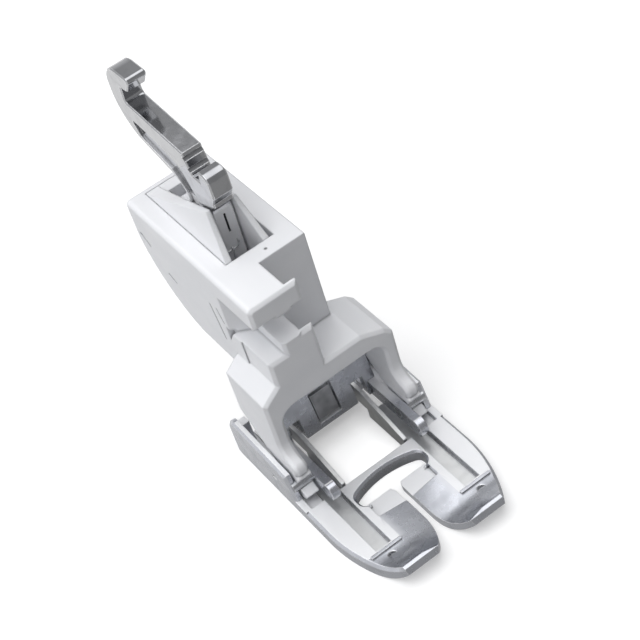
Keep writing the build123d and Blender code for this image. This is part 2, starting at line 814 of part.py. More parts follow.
# Guide: two cheeks beside the lever, joined behind it
with BuildPart() as lever_guide:
    with BuildSketch(Plane.YZ.offset(bay_left + guide_gap)):
        with BuildLine():
            rear = rear_y - rear_wall - guide_gap
            front = bay_front + guide_gap
            low = belly_z + shell_t + guide_gap
            Line((rear, top_z), (rear, belly_side_z))
            ThreePointArc(
                (rear, belly_side_z),
                (belly_mid_y - shell_t / 2 - guide_gap, belly_mid_z + shell_t + guide_gap),
                (belly_y, low),
            )
            Line((belly_y, low), (front, low))
            Line((front, low), (front, top_z))
            Line((front, top_z), (peak_y, peak_z))
            Spline((peak_y, peak_z), (guide_rear, (peak_z + top_z) / 2), (rear, top_z))
        make_face()
    extrude(amount=guide_right - bay_left - guide_gap)
    # Outer faces of both cheeks lean in towards a narrow ridge
    with BuildSketch(Plane.XZ.offset(-front)):
        Polygon(
            (bay_left + guide_gap, top_z),
            (lever_x - lever_half - lever_gap - ridge_t, peak_z),
            (bay_left + guide_gap, peak_z),
            align=None,
        )
        Polygon(
            (guide_right, top_z),
            (lever_x + lever_half + lever_gap + ridge_t, peak_z),
            (guide_right, peak_z),
            align=None,
        )
    extrude(amount=front - rear, mode=Mode.SUBTRACT)
    with BuildSketch(Plane.XY.offset(low)):
        with Locations((lever_x, (front + guide_rear) / 2)):
            Rectangle(2 * (lever_half + lever_gap), guide_rear - front)
    extrude(amount=peak_z - low, mode=Mode.SUBTRACT)
    # Slot widens towards the front, so that both cheeks end in a narrow lip
    with BuildSketch(Plane.XY.offset(low)):
        Polygon(
            (lever_x - lever_half - lever_gap, peak_y),
            (bay_left + guide_gap + cheek_lip, front),
            (guide_right - cheek_lip, front),
            (lever_x + lever_half + lever_gap, peak_y),
            align=None,
        )
    extrude(amount=peak_z - low, mode=Mode.SUBTRACT)
    with BuildSketch(Plane.XY.offset(top_z)):
        with Locations((lever_x, (guide_rear + rear) / 2)):
            Rectangle(2 * (lever_half + lever_gap), rear - guide_rear)
    extrude(amount=peak_z - top_z, mode=Mode.SUBTRACT)
    with BuildSketch(Plane.XY.offset(top_z)):
        with Locations((lever_x, pocket_y)):
            Rectangle(pocket_w, pocket_w)
    extrude(amount=-pocket_d, mode=Mode.SUBTRACT)
    with BuildSketch(Plane.YZ.offset(bay_left)):
        with Locations((pivot_y, pivot_z)):
            Circle(pivot_r + press_fit)
    extrude(amount=bay_right - bay_left, mode=Mode.SUBTRACT)
lever_guide.part.label = "lever_guide"
export_step(lever_guide.part, "parts/lever_guide.step")

with BuildPart() as pivot_pin:
    with BuildSketch(Plane.YZ.offset(-pin_blind)):
        with Locations((pivot_y, pivot_z)):
            Circle(pivot_r)
    extrude(amount=right_x + pin_blind)
    with BuildSketch(Plane.YZ.offset(right_x - clip_set)):
        with Locations((pivot_y, pivot_z)):
            Circle(pivot_r)
            Circle(groove_r, mode=Mode.SUBTRACT)
    extrude(amount=-clip_t, mode=Mode.SUBTRACT)
pivot_pin.part.label = "pivot_pin"
export_step(pivot_pin.part, "parts/pivot_pin.step")

with BuildPart() as pivot_clip:
    with BuildSketch(Plane.YZ.offset(right_x - clip_set - press_fit)):
        with Locations((pivot_y, pivot_z)):
            Circle(clip_r)
            Circle(groove_r + press_fit, mode=Mode.SUBTRACT)
        with Locations((pivot_y, pivot_z - clip_r)):
            Rectangle(groove_r, 2 * clip_r, mode=Mode.SUBTRACT)
    extrude(amount=2 * press_fit - clip_t)
pivot_clip.part.label = "pivot_clip"
export_step(pivot_clip.part, "parts/pivot_clip.step")

with BuildPart() as pivot_bush:
    with BuildSketch(Plane.YZ.offset(lever_x - lever_half)):
        with Locations((pivot_y, pivot_z)):
            Circle(bush_r)
            Circle(pivot_r + run_fit, mode=Mode.SUBTRACT)
    extrude(amount=2 * lever_half)
pivot_bush.part.label = "pivot_bush"
export_step(pivot_bush.part, "parts/pivot_bush.step")

# Lever: hooked head, level arm, ribbed knuckle, stem, boss and lower tip
with BuildPart() as drive_lever:
    stem_top = crown_z - stem_top_drop
    waist = crown_z - waist_drop
    under_rise = (waist_drop - heel_drop) / (heel_y - waist_y)
    with BuildSketch(Plane.YZ.offset(lever_x - lever_half)):
        with BuildLine():
            outline = FilletPolyline(
                (stem_front, pivot_z),
                (stem_top_y, stem_top),
                (lip_y, crown_z - lip_drop),
                (lip_y, crown_z - lip_drop + lip_h),
                (knuckle_y, crown_z - knuckle_low_drop),
                (knuckle_y, crown_z - knuckle_drop),
                (knuckle_rear, crown_z - knuckle_drop),
                (notch_y, crown_z - comb_drop),
                (comb_y, crown_z - comb_drop),
                (arm_low_y, crown_z - arm_low_drop),
                (arm_end_y, crown_z - arm_end_drop),
                (throat_y, crown_z - throat_drop),
                (beak_y, crown_z - beak_drop),
                (crown_y, crown_z),
                (head_y, crown_z),
                (heel_y, crown_z - heel_drop),
                (waist_y, waist),
                (stem_rear, crown_z - stem_low_drop),
                (pivot_y + arm_root, pivot_z),
                radius=[lever_soft]
                + 2 * [0]
                + [lever_soft, knuckle_round]
                + 4 * [0]
                + 2 * [lever_soft]
                + [lever_tight, lever_soft]
                + [head_round, heel_round, waist_round, lever_soft],
            )
            Line(outline @ 1, outline @ 0)
        make_face()
        with Locations((pivot_y, pivot_z)):
            Circle(boss_r)
        with Locations((tip_y, tip_z)):
            Circle(tip_r)
        Polygon(
            (tip_y - tip_neck, tip_z),
            (tip_y + tip_neck, tip_z),
            (pivot_y + arm_root, pivot_z),
            (pivot_y - arm_root, pivot_z),
            align=None,
        )
    extrude(amount=2 * lever_half)
    sides = drive_lever.edges().group_by(Axis.X)
    sides = (sides[0] + sides[-1]).filter_by_position(Axis.Z, pivot_z + boss_r, crown_z + tol)
    chamfer(sides, lever_edge)
    # Grooves across the ramp behind the knuckle
    with BuildSketch(Plane.YZ.offset(lever_x - lever_half)):
        for count in range(comb_count):
            along = (count + 1 / 2) / comb_count
            groove_y = comb_y + along * (arm_low_y - comb_y)
            groove_drop = comb_drop + along * (arm_low_drop - comb_drop)
            with Locations((groove_y, crown_z - groove_drop)):
                RegularPolygon(comb_r, 4)
    extrude(amount=2 * lever_half, mode=Mode.SUBTRACT)
    # Shallow bent hollow in both sides, between the rails of arm and stem
    for side in (-1, 1):
        with BuildSketch(Plane.YZ.offset(lever_x + side * lever_half)) as hollow:
            Polygon(
                (arm_end_y, crown_z - arm_end_drop - rail_top),
                (hollow_front, crown_z - arm_low_drop - rail_top),
                (stem_top_y + rail_front, stem_top),
                (stem_top_y + rail_front, crown_z - hollow_low_drop),
                (stem_rear - rail_rear, crown_z - hollow_low_drop),
                (stem_rear - rail_rear, stem_top),
                (hollow_bend, waist + under_rise * (hollow_bend - waist_y) + rail_low),
                (hollow_rear, waist + under_rise * (hollow_rear - waist_y) + rail_low),
                align=None,
            )
            fillet(hollow.vertices().sort_by(Axis.X)[-2:], hollow_round)
        extrude(amount=-side * hollow_depth, mode=Mode.SUBTRACT)
    # Slit down the front of the stem
    with BuildSketch(Plane.XZ.offset(-knuckle_y)):
        with Locations((lever_x, stem_top - slit_set - slit_l / 2)):
            Rectangle(slit_w, slit_l)
    extrude(amount=knuckle_y - stem_front - slit_d, mode=Mode.SUBTRACT)
    with BuildSketch(Plane.YZ.offset(lever_x - lever_half)):
        with Locations((pivot_y, pivot_z)):
            Circle(bush_r + press_fit)
    extrude(amount=2 * lever_half, mode=Mode.SUBTRACT)
drive_lever.part.label = "drive_lever"
export_step(drive_lever.part, "parts/drive_lever.step")
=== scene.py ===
import logging
import math
from dataclasses import dataclass
from enum import Enum
from typing import Optional, Union

import bmesh
import bpy
from mathutils import Matrix, Vector


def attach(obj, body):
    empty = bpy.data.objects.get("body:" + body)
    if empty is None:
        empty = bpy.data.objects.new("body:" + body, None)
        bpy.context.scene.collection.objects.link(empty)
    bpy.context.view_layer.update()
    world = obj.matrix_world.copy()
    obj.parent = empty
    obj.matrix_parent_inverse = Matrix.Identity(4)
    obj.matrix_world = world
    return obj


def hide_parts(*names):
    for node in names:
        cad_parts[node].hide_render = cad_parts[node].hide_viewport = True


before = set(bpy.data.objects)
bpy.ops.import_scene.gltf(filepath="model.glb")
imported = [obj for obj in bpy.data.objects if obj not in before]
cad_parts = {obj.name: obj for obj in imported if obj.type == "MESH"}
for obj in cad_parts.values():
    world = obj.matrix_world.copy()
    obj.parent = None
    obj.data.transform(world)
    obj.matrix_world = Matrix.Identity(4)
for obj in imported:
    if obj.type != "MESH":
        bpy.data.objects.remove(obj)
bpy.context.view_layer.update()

logging.basicConfig(level=logging.INFO, format="%(message)s")
log = logging.getLogger("presser_foot")

MM = 0.001
BLACK = (0.0, 0.0, 0.0)
WHITE = (1.0, 1.0, 1.0)
EDGE_SAMPLES = 6
NOOK_SAMPLES = 8

Colour = tuple[float, float, float]
Point = tuple[float, float, float]
Span = tuple[float, float]
Value = Union["Signal", float]
Paint = Union[Colour, bpy.types.NodeSocket]


class Op(Enum):
    """Sums that a value in a material can take part in."""

    ADD = "ADD"
    SUBTRACT = "SUBTRACT"
    MULTIPLY = "MULTIPLY"
    LESS = "LESS_THAN"
    GREATER = "GREATER_THAN"
    LARGER = "MAXIMUM"


class Brush(Enum):
    """Tool marks on a surface: their width, finer layers and the scale in each direction."""

    ALONG = (0.08 * MM, 3.0, (1.0, 0.03, 1.0))
    ROUND = (0.07 * MM, 3.0, (1.0, 0.05, 0.05))
    NONE = (0.25 * MM, 4.0, (1.0, 1.0, 1.0))


class Signal:
    """A value socket that adds Math nodes when it is used in a sum."""

    def __init__(self, recipe: "Recipe", socket: bpy.types.NodeSocket) -> None:
        """Keeps the socket and the recipe whose tree it is in."""
        self.recipe = recipe
        self.socket = socket

    def _sum(self, op: Op, left: Value, right: Value) -> "Signal":
        """One Math node.

        Args:
            op: The sum to work out.
            left: First value.
            right: Second value.

        Returns:
            The result as a new signal.
        """
        node = self.recipe.node("ShaderNodeMath", {"operation": op.value}, {0: left, 1: right})
        return self.recipe.out(node)

    def __add__(self, other: Value) -> "Signal":
        """Sum of both."""
        return self._sum(Op.ADD, self, other)

    __radd__ = __add__

    def __sub__(self, other: Value) -> "Signal":
        """This less the other."""
        return self._sum(Op.SUBTRACT, self, other)

    def __rsub__(self, other: Value) -> "Signal":
        """The other less this."""
        return self._sum(Op.SUBTRACT, other, self)

    def __mul__(self, other: Value) -> "Signal":
        """Product of both."""
        return self._sum(Op.MULTIPLY, self, other)

    __rmul__ = __mul__

    def __gt__(self, other: Value) -> "Signal":
        """One where this is greater, else zero."""
        return self._sum(Op.GREATER, self, other)

    def __lt__(self, other: Value) -> "Signal":
        """One where this is less, else zero."""
        return self._sum(Op.LESS, self, other)

    def at_least(self, other: Value) -> "Signal":
        """The larger of both."""
        return self._sum(Op.LARGER, self, other)


class Recipe:
    """A node tree of a material, the world or a swept piece, with short ways to add to it."""

    def __init__(self, tree: bpy.types.NodeTree) -> None:
        """Empties the tree."""
        self.tree = tree
        tree.nodes.clear()

    def node(
        self,
        kind: str,
        settings: Optional[dict] = None,
        inputs: Optional[dict] = None,
    ) -> bpy.types.Node:
        """Adds one node.

        Args:
            kind: Blender's name of the node's type.
            settings: Properties of the node, set before its sockets.
            inputs: What each socket gets, by its name or number: a value, a socket, a signal,
                or a node, which gives its first output.

        Returns:
            The new node.
        """
        made = self.tree.nodes.new(kind)
        for name, value in (settings or {}).items():
            setattr(made, name, value)
        for name, value in (inputs or {}).items():
            if isinstance(value, Signal):
                value = value.socket
            elif isinstance(value, bpy.types.Node):
                value = value.outputs[0]
            if isinstance(value, bpy.types.NodeSocket):
                self.tree.links.new(value, made.inputs[name])
            else:
                made.inputs[name].default_value = value
        return made

    def out(self, node: bpy.types.Node, name: Union[str, int] = 0) -> Signal:
        """One output of a node as a signal."""
        return Signal(self, node.outputs[name])

    def place(self) -> bpy.types.NodeSocket:
        """Place on the piece, in its own frame."""
        return self.node("ShaderNodeTexCoord").outputs["Object"]

    def facing(self) -> list[Signal]:
        """How far the surface faces right, to the rear and up, in the piece's own frame."""
        return self.parts(self.node("ShaderNodeTexCoord").outputs["Normal"])

    def parts(self, vector: bpy.types.NodeSocket) -> list[Signal]:
        """The three parts of a vector."""
        split = self.node("ShaderNodeSeparateXYZ", {}, {0: vector})
        return [self.out(split, axis) for axis in range(3)]

    def dot(self, first: bpy.types.NodeSocket, second: Union[bpy.types.NodeSocket, Vector]) -> Signal:
        """Dot product of two vectors."""
        product = self.node("ShaderNodeVectorMath", {"operation": "DOT_PRODUCT"}, {0: first, 1: second})
        return self.out(product, "Value")

    def nook(self, reach: float) -> Signal:
        """One deep in a corner of the piece, zero in the open: the mask of the painted corner shade.

        Args:
            reach: Distance in metres over which a corner darkens.

        Returns:
            The share of the open air that the corner takes.
        """
        settings = {"samples": NOOK_SAMPLES, "only_local": True}
        open_air = self.node("ShaderNodeAmbientOcclusion", settings, {"Distance": reach})
        return 1.0 - self.out(open_air, "AO")

    def rounded(self, radius: float) -> bpy.types.NodeSocket:
        """Normal whose edges are rounded by a radius in metres."""
        return self.node("ShaderNodeBevel", {"samples": EDGE_SAMPLES}, {"Radius": radius}).outputs[0]

    def edge(self, radius: float) -> Signal:
        """One on the rounded edges of the piece, zero on its faces: the mask of the painted edge highlight.

        Args:
            radius: Radius of the rounding in metres.

        Returns:
            How far the rounded surface turns away from the face.
        """
        face = self.node("ShaderNodeNewGeometry").outputs["Normal"]
        return 1.0 - self.dot(self.rounded(radius), face)

    def noise(self, size: float, detail: float = 2.0, stretch: Point = (1.0, 1.0, 1.0)) -> Signal:
        """Soft noise between zero and one.

        Args:
            size: Size of its lumps in metres.
            detail: Number of finer layers.
            stretch: Share of the scale in each direction.

        Returns:
            The noise as a signal.
        """
        scaled = self.node("ShaderNodeMapping", {}, {"Vector": self.place(), "Scale": stretch})
        lumps = {"Vector": scaled, "Scale": 1 / size, "Detail": detail}
        return self.out(self.node("ShaderNodeTexNoise", {}, lumps))

    def tint(self, factor: Value, first: Paint, second: Paint) -> bpy.types.NodeSocket:
        """Mix of two colours.

        Args:
            factor: Share of the second colour.
            first: Colour at zero.
            second: Colour at one.

        Returns:
            The mixed colour's socket.
        """
        # The Mix node has a pair of sockets for each type of data: 6 and 7 are its colours, 2 their mix
        low, high = (opaque(paint) if isinstance(paint, tuple) else paint for paint in (first, second))
        mixed = self.node("ShaderNodeMix", {"data_type": "RGBA"}, {0: factor, 6: low, 7: high})
        return mixed.outputs[2]

    def range(
        self,
        value: Signal,
        low: float,
        high: float,
        to_low: float = 0.0,
        to_high: float = 1.0,
    ) -> Signal:
        """Value moved from one range to another and kept inside it.

        Args:
            value: The value to move.
            low: Value that becomes to_low.
            high: Value that becomes to_high.
            to_low: Result at low and beyond.
            to_high: Result at high and beyond.

        Returns:
            The moved value.
        """
        ends = {"From Min": low, "From Max": high, "To Min": to_low, "To Max": to_high}
        return self.out(self.node("ShaderNodeMapRange", {"clamp": True}, {"Value": value, **ends}))

    def glowing(self, level: Signal) -> bpy.types.Node:
        """White emission of an uneven level between zero and one."""
        return self.node("ShaderNodeEmission", {}, {"Color": self.tint(level, BLACK, WHITE)})

    def by_ray(
        self,
        lit: bpy.types.Node,
        mirrored: bpy.types.Node,
        shown: bpy.types.Node,
    ) -> bpy.types.Node:
        """Mix of three shaders by what a ray of light is for.

        Args:
            lit: Shader that lights matt surfaces.
            mirrored: Shader that is seen in reflections.
            shown: Shader that the camera sees, straight or through a clear piece.

        Returns:
            The last node of the mix.
        """
        path = self.node("ShaderNodeLightPath")
        seen = self.out(path, "Is Camera Ray").at_least(self.out(path, "Is Transmission Ray"))
        glossy = self.out(path, "Is Glossy Ray")
        unseen = self.node("ShaderNodeMixShader", {}, {0: glossy, 1: lit, 2: mirrored})
        return self.node("ShaderNodeMixShader", {}, {0: seen, 1: unseen, 2: shown})


def opaque(colour: Colour) -> tuple[float, float, float, float]:
    """A colour with full alpha."""
    return (*colour, 1.0)


def lean(parts: list[Signal], shares: Point) -> Signal:
    """Sum of the three parts of a vector, each with its own share."""
    across, along, up = (part * share for part, share in zip(parts, shares))
    return across + along + up


def new_material(name: str) -> tuple[bpy.types.Material, Recipe]:
    """A new material with an empty tree.

    Args:
        name: Name of the material.

    Returns:
        The material and its recipe.
    """
    material = bpy.data.materials.new(name)
    material.use_nodes = True
    return material, Recipe(material.node_tree)


def bumped(
    recipe: Recipe,
    height: Signal,
    strength: float,
    depth: float,
    edge: float,
) -> bpy.types.NodeSocket:
    """Normal with soft edges and a fine relief.

    Args:
        recipe: Tree to add to.
        height: Relief between zero and one.
        strength: Share of the relief that shows.
        depth: Height of the relief in metres.
        edge: Radius of the softened edges in metres.

    Returns:
        The normal's socket.
    """
    relief = {"Strength": strength, "Distance": depth, "Height": height, "Normal": recipe.rounded(edge)}
    return recipe.node("ShaderNodeBump", {}, relief).outputs[0]


def finish_material(
    recipe: Recipe,
    colour: bpy.types.NodeSocket,
    roughness: Signal,
    normal: bpy.types.NodeSocket,
    metallic: Value,
) -> None:
    """Ends a tree in its shader and output.

    Args:
        recipe: Tree to end.
        colour: Colour over the surface.
        roughness: Roughness over the surface.
        normal: Normal over the surface.
        metallic: One for bare metal, zero for a plastic, less than one where it is frosted.
    """
    shader = recipe.node(
        "ShaderNodeBsdfPrincipled", {},
        {"Base Color": colour, "Roughness": roughness, "Normal": normal, "Metallic": metallic},
    )
    recipe.node("ShaderNodeOutputMaterial", {}, {"Surface": shader})


@dataclass(frozen=True)
class MouldedWhite:
    """White moulded plastic with a satin skin, faint flow marks and painted shade in its corners and sunk
    marks.

    The sunk marks are in the left face, with their floors at sunk_at across the piece.
    """

    name: str = "moulded_white"
    light: Colour = (0.80, 0.805, 0.825)
    shade: Colour = (0.76, 0.768, 0.79)
    roughness: Span = (0.36, 0.49)
    edge: float = 0.42 * MM
    flow: float = 9 * MM
    flow_detail: float = 3.0
    flow_stretch: Point = (1.0, 0.5, 1.4)
    flow_span: Span = (0.35, 0.65)
    rub: float = 1.6 * MM
    rub_detail: float = 4.0
    rub_span: Span = (0.3, 0.7)
    rub_share: float = 0.4
    grain: float = 0.12 * MM
    grain_share: float = 0.6
    relief: float = 0.06
    relief_height: float = 0.02 * MM
    # The next four set the painted shade in the corners.
    nook: float = 0.7 * MM
    nook_span: Span = (0.12, 0.6)
    nook_share: float = 0.75
    corner_shade: Colour = (0.36, 0.365, 0.38)
    sunk_at: float = -8.5 * MM
    sunk_within: float = 0.06 * MM
    sunk_facing: float = 0.95
    sunk_shade: Colour = (0.14, 0.145, 0.16)

    def make(self) -> bpy.types.Material:
        """Builds the material."""
        material, recipe = new_material(self.name)
        flow = recipe.noise(self.flow, self.flow_detail, self.flow_stretch)
        skin = recipe.tint(recipe.range(flow, *self.flow_span), self.light, self.shade)
        # Painted shade: the corners are darkened where ambient occlusion finds them.
        corner = recipe.range(recipe.nook(self.nook), *self.nook_span, 0.0, self.nook_share)
        corner_shaded_skin = recipe.tint(corner, skin, self.corner_shade)
        # Painted shade on the floors of the sunk marks.
        colour = recipe.tint(self._sunk(recipe), corner_shaded_skin, self.sunk_shade)
        rub = recipe.noise(self.rub, self.rub_detail)
        rough = recipe.range(rub, *self.rub_span, *self.roughness)
        height = recipe.noise(self.grain) * self.grain_share + rub * self.rub_share
        normal = bumped(recipe, height, self.relief, self.relief_height, self.edge)
        finish_material(recipe, colour, rough, normal, metallic=0.0)
        return material

    def _sunk(self, recipe: Recipe) -> Signal:
        """Mask of the floors of the sunk marks, which get painted shade.

        Args:
            recipe: Tree to add to.

        Returns:
            One on the floors, zero elsewhere.
        """
        across = recipe.parts(recipe.place())[0]
        deep = (across > self.sunk_at - self.sunk_within) * (across < self.sunk_at + self.sunk_within)
        to_left = recipe.facing()[0] * -1.0 > self.sunk_facing
        return deep * to_left


@dataclass(frozen=True)
class PlatedMetal:
    """Bright metal with soft waviness, smudges, tool marks, painted edge highlights and painted corner
    shade.

    With flats, faces that point straight up above flat_above and behind flat_behind are frosted, with
    painted light on them.
    With matt_below, everything under that height is matt, with painted light on it.
    """

    name: str
    bright: Colour
    dull: Colour
    roughness: float
    wave: float = 2.4 * MM
    wave_height: float = 0.05 * MM
    relief: float = 0.35
    edge: float = 0.16 * MM
    brush: Brush = Brush.NONE
    mark_rough: float = 0.06
    mark_height: float = 0.03
    smudge: float = 2.0 * MM
    smudge_detail: float = 1.5
    smudge_span: Span = (0.45, 0.75)
    smudge_rough: float = 0.10
    flats: bool = False
    painted_light_tone: Colour = (0.86, 0.865, 0.88)
    flat_above: float = 1.0 * MM
    flat_behind: float = -12.3 * MM
    flat_span: Span = (0.995, 0.999)
    flat_rough: float = 0.2
    flat_cover: float = 0.5
    matt_below: Optional[float] = None
    matt_cover: float = 0.8
    # The next four set the painted highlight on the rounded edges.
    rub: float = 0.22 * MM
    rub_span: Span = (0.02, 0.12)
    rub_share: float = 0.85
    edge_highlight: Colour = (0.95, 0.955, 0.965)
    # The next four set the painted shade in the corners.
    nook: float = 0.55 * MM
    nook_span: Span = (0.15, 0.65)
    nook_share: float = 0.7
    nook_shade: Colour = (0.13, 0.135, 0.145)

    def make(self) -> bpy.types.Material:
        """Builds the material."""
        material, recipe = new_material(self.name)
        marks = recipe.noise(*self.brush.value)
        smudge = recipe.range(recipe.noise(self.smudge, self.smudge_detail), *self.smudge_span)
        colour = recipe.tint(smudge, self.bright, self.dull)
        rough = smudge * self.smudge_rough + marks * self.mark_rough + self.roughness
        metallic: Value = 1.0
        if self.flats:
            flat = self._flat(recipe)
            # Painted light: the up-facing flats get a lighter colour.
            colour = recipe.tint(flat, colour, self.painted_light_tone)
            rough = rough + flat * self.flat_rough
            metallic = metallic - flat * self.flat_cover
        if self.matt_below is not None:
            low = recipe.parts(recipe.place())[2] < self.matt_below
            # Painted light: everything below matt_below gets a lighter colour.
            colour = recipe.tint(low, colour, self.painted_light_tone)
            metallic = metallic - low * self.matt_cover
        # Painted highlight: the rounded edges are painted lighter.
        highlighted_edge = recipe.range(recipe.edge(self.rub), *self.rub_span, 0.0, self.rub_share)
        # Painted shade: the corners are darkened where ambient occlusion finds them.
        corner = recipe.range(recipe.nook(self.nook), *self.nook_span, 0.0, self.nook_share)
        edge_lit = recipe.tint(highlighted_edge, colour, self.edge_highlight)
        corner_shaded_metal = recipe.tint(corner, edge_lit, self.nook_shade)
        height = recipe.noise(self.wave) + marks * self.mark_height
        normal = bumped(recipe, height, self.relief, self.wave_height, self.edge)
        finish_material(recipe, corner_shaded_metal, rough, normal, metallic)
        return material

    def _flat(self, recipe: Recipe) -> Signal:
        """Mask of the frosted faces, which also get painted light.

        Args:
            recipe: Tree to add to.

        Returns:
            One on the frosted faces, zero elsewhere.
        """
        _, along, up = recipe.parts(recipe.place())
        upper = (up > self.flat_above) * (along > self.flat_behind)
        return recipe.range(recipe.facing()[2], *self.flat_span) * upper


@dataclass(frozen=True)
class Finishes:
    """The finishes of the whole object."""

    white: MouldedWhite = MouldedWhite()
    lever: PlatedMetal = PlatedMetal(
        "mirror_plating", (0.54, 0.545, 0.56), (0.46, 0.465, 0.48), 0.06, matt_below=43.2 * MM,
        rub_share=1.0, nook_share=0.9, nook_shade=(0.03, 0.032, 0.036),
    )
    foot: PlatedMetal = PlatedMetal(
        "satin_plating", (0.67, 0.685, 0.73), (0.60, 0.615, 0.655), 0.22, flats=True,
        nook=0.36 * MM, nook_share=0.9, nook_shade=(0.05, 0.052, 0.058),
    )
    cast: PlatedMetal = PlatedMetal(
        "cast_steel", (0.52, 0.525, 0.54), (0.36, 0.365, 0.38), 0.3, wave=1.2 * MM,
    )
    ground: PlatedMetal = PlatedMetal(
        "ground_steel", (0.86, 0.865, 0.86), (0.76, 0.765, 0.76), 0.42, brush=Brush.ALONG,
    )
    turned: PlatedMetal = PlatedMetal(
        "turned_steel", (0.62, 0.63, 0.65), (0.50, 0.51, 0.53), 0.18, brush=Brush.ROUND,
    )
    spring: PlatedMetal = PlatedMetal(
        "spring_wire", (0.78, 0.785, 0.79), (0.62, 0.625, 0.63), 0.16, edge=0.03 * MM,
    )
    brass: PlatedMetal = PlatedMetal(
        "turned_brass", (0.66, 0.50, 0.24), (0.52, 0.38, 0.17), 0.22, brush=Brush.ROUND,
    )


def dress(nodes: list[str], material: bpy.types.Material) -> None:
    """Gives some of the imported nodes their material.

    Args:
        nodes: Names of the nodes.
        material: The material for all of them.
    """
    for name in nodes:
        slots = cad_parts[name].data.materials
        slots.clear()
        slots.append(material)
        log.info("dressed %s with %s", name, material.name)


def linked(name: str, data: bpy.types.ID) -> bpy.types.Object:
    """A new object in the scene.

    Args:
        name: Name of the object.
        data: Its mesh, camera or light.

    Returns:
        The object, at the origin.
    """
    made = bpy.data.objects.new(name, data)
    bpy.context.scene.collection.objects.link(made)
    return made


def plain_mesh(source: bpy.types.Object, name: str) -> bpy.types.Mesh:
    """A new mesh of what an object's modifiers make.

    Args:
        source: Object with its modifiers.
        name: Name of the mesh.

    Returns:
        The mesh, with no modifier behind it.
    """
    evaluated = source.evaluated_get(bpy.context.evaluated_depsgraph_get())
    mesh = bpy.data.meshes.new_from_object(evaluated)
    mesh.name = name
    return mesh


@dataclass
class Holder:
    """White moulding with the guide and the lever's pivot."""

    finishes: Finishes

    def build(self) -> None:
        """Dresses the moulding, its guide and the pivot."""
        dress(["holder_body", "lever_guide"], self.finishes.white.make())
        dress(["pivot_pin", "pivot_clip"], self.finishes.turned.make())


class Wire:
    """Geometry Nodes tree that sweeps a round wire along the edges of a mesh."""

    def __init__(self, material: bpy.types.Material) -> None:
        """Builds the tree.

        Args:
            material: Finish of the wire.
        """
        self.group = bpy.data.node_groups.new("swept_wire", "GeometryNodeTree")
        self._sockets()
        self._nodes(material)

    def _sockets(self) -> None:
        """Names the inputs and the output of the tree."""
        face = self.group.interface
        sizes = {"Route": "Geometry", "Radius": "Float", "Steps": "Int", "Sides": "Int"}
        for name, kind in sizes.items():
            face.new_socket(name, in_out="INPUT", socket_type="NodeSocket" + kind)
        face.new_socket("Wire", in_out="OUTPUT", socket_type="NodeSocketGeometry")

    def _nodes(self, material: bpy.types.Material) -> None:
        """Route to curve, curve to smooth wire, wire to plain mesh.

        Args:
            material: Finish of the wire.
        """
        recipe = Recipe(self.group)
        given = recipe.node("NodeGroupInput").outputs
        route = recipe.node("GeometryNodeMeshToCurve", {}, {0: given["Route"]})
        smooth = recipe.node("GeometryNodeCurveSplineType", {"spline_type": "CATMULL_ROM"}, {"Curve": route})
        even = recipe.node("GeometryNodeResampleCurve", {}, {"Curve": smooth, "Count": given["Steps"]})
        ring = {"Resolution": given["Sides"], "Radius": given["Radius"]}
        section = recipe.node("GeometryNodeCurvePrimitiveCircle", {}, ring)
        tube = {"Curve": even, "Profile Curve": section, "Fill Caps": True}
        swept = recipe.node("GeometryNodeCurveToMesh", {}, tube)
        rounded = recipe.node("GeometryNodeSetShadeSmooth", {}, {0: swept})
        plain = recipe.node("GeometryNodeRealizeInstances", {}, {0: rounded})
        finish = recipe.node("GeometryNodeSetMaterial", {}, {"Geometry": plain, "Material": material})
        recipe.node("NodeGroupOutput", {}, {"Wire": finish})

    @staticmethod
    def _route(name: str, strands: list[list[Point]]) -> bpy.types.Mesh:
        """Mesh of bare edges that the wire follows.

        Args:
            name: Name of the mesh.
            strands: Points of each strand in metres.

        Returns:
            The mesh.
        """
        points: list[Point] = []
        edges: list[tuple[int, int]] = []
        for strand in strands:
            first = len(points)
            points.extend(strand)
            edges.extend((first + count, first + count + 1) for count in range(len(strand) - 1))
        mesh = bpy.data.meshes.new(name)
        mesh.from_pydata(points, edges, [])
        return mesh

    def sweep(
        self,
        name: str,
        strands: list[list[Point]],
        radius: float,
        steps: int,
        sides: int,
    ) -> bpy.types.Object:
        """Makes one plain mesh object of wire.

        Args:
            name: Name of the piece.
            strands: Points of each strand in metres.
            radius: Radius of the wire in metres.
            steps: Rings along each strand.
            sides: Sides of each ring.

        Returns:
            The finished object, with no modifier left on it.
        """
        source = linked(name + "_route", self._route(name + "_route", strands))
        modifier = source.modifiers.new("wire", "NODES")
        modifier.node_group = self.group
        wanted = {"Radius": radius, "Steps": steps, "Sides": sides}
        for item in self.group.interface.items_tree:
            if item.name in wanted and item.in_out == "INPUT":
                modifier[item.identifier] = wanted[item.name]
        plain = plain_mesh(source, name)
        source.modifiers.remove(modifier)
        bpy.data.objects.remove(source)
        return linked(name, plain)


